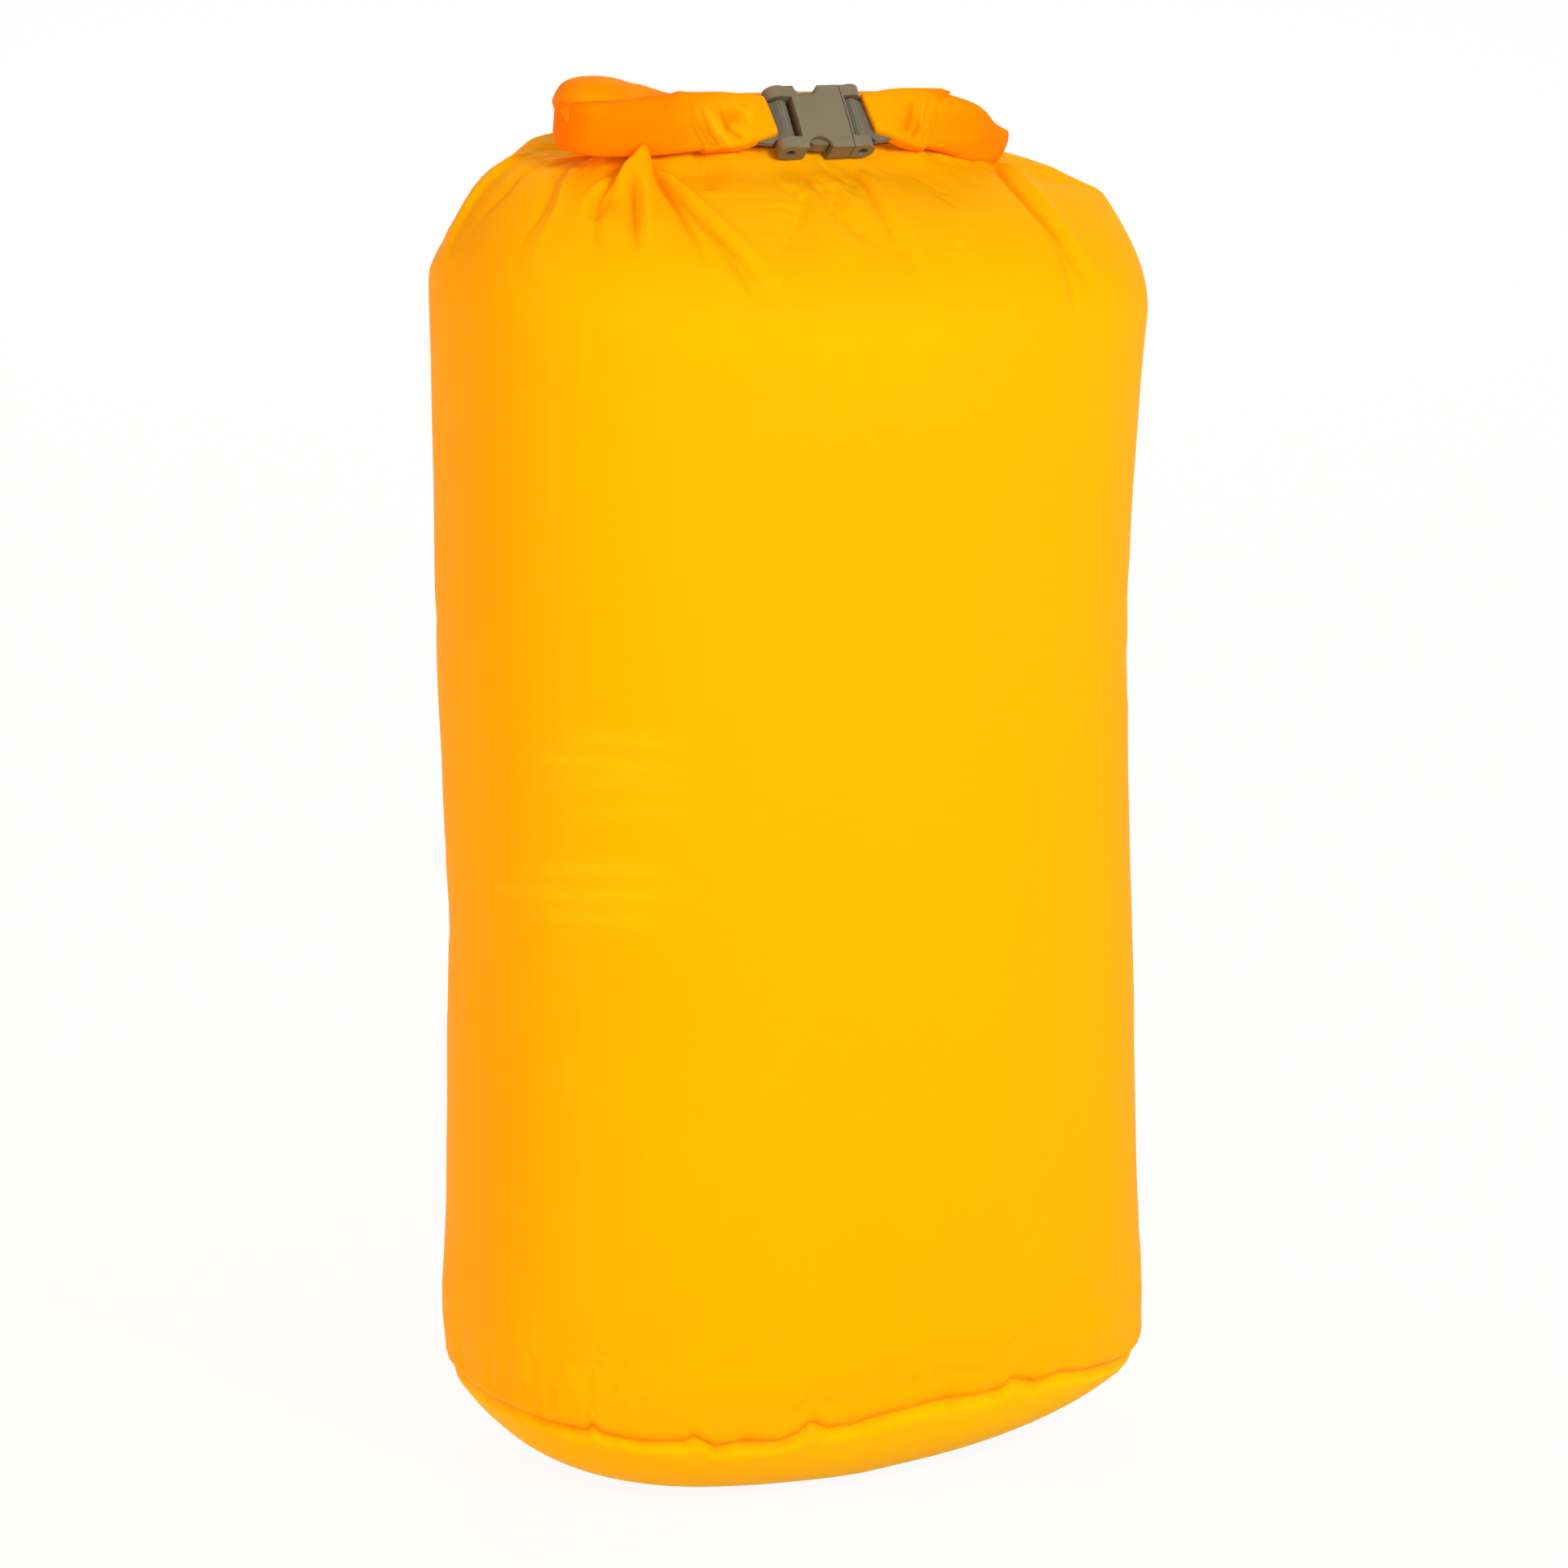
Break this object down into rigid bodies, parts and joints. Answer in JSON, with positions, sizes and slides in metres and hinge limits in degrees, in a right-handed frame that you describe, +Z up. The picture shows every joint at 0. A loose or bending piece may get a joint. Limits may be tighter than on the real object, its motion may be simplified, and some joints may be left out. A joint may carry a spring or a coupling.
{
  "type": "stuff sack",
  "caption": "Roll-top stuff sack of coated fabric, filled and upright, with an oval sewn base and a rolled mouth whose ends clip into a carry loop with a side-release buckle.",
  "frame": {"origin": "on the floor, under the middle of the base", "axes": "+Z up, +X along the rolled mouth towards the plug half of the buckle, -Y to the front, where the buckle is"},
  "size_m": [0.265, 0.186, 0.524],
  "materials": {
    "coated_fabric": "thin silicone-coated nylon with a soft sheen",
    "rolled_fabric": "the same fabric in rolled layers",
    "seam_tape": "matt film",
    "stiffener": "matt strip",
    "webbing": "woven tape",
    "buckle_plastic": "moulded, fine matt grain",
    "pin_plastic": "moulded"
  },
  "bodies": {
    "sack": {"sack_body": "coated_fabric", "base_panel": "coated_fabric", "base_seam_allowance": "coated_fabric", "base_seam_tape": "seam_tape", "side_seam_tape": "seam_tape", "rolled_collar": "rolled_fabric", "back_stiffener": "stiffener"},
    "carry_loop": {"left_bend": "rolled_fabric", "right_bend": "rolled_fabric", "left_collar_end": "rolled_fabric", "right_collar_end": "rolled_fabric", "left_stiffener": "stiffener", "right_stiffener": "stiffener"},
    "female_half": {"buckle_female": "buckle_plastic", "female_pin": "pin_plastic", "left_webbing_tab": "webbing"},
    "male_half": {"buckle_male": "buckle_plastic", "male_pin": "pin_plastic", "right_webbing_tab": "webbing"},
    "upper_prong": {"upper_prong": "buckle_plastic"},
    "lower_prong": {"lower_prong": "buckle_plastic"}
  },
  "joints": [
    {"name": "loop_lift", "type": "hinge", "parent": "sack", "child": "carry_loop", "pos_m": [-0.004, 0.011, 0.503], "axis": [-0.9969, 0, 0.0785], "range_deg": [0, 70]},
    {"name": "plug_pull", "type": "slide", "parent": "carry_loop", "child": "male_half", "axis": [0.9969, 0, -0.0785], "range_m": [0, 0.01], "deforming": ["right_collar_end", "upper_prong", "lower_prong"]},
    {"name": "socket_pull", "type": "slide", "parent": "carry_loop", "child": "female_half", "axis": [-0.9969, 0, 0.0785], "range_m": [0, 0.01], "deforming": ["left_collar_end", "upper_prong", "lower_prong"]},
    {"name": "upper_squeeze", "type": "hinge", "parent": "male_half", "child": "upper_prong", "pos_m": [0.01227, -0.01061, 0.51278], "axis": [0.0564, -0.6947, 0.7171], "range_deg": [0, 9], "stiffness_Nm_per_rad": 0.05},
    {"name": "lower_squeeze", "type": "hinge", "parent": "male_half", "child": "lower_prong", "pos_m": [0.01153, -0.02039, 0.50336], "axis": [-0.0564, 0.6947, -0.7171], "range_deg": [0, 9], "stiffness_Nm_per_rad": 0.05}
  ],
  "couplings": [
    {"joint": "socket_pull", "follows": "plug_pull", "ratio": 1}
  ]
}
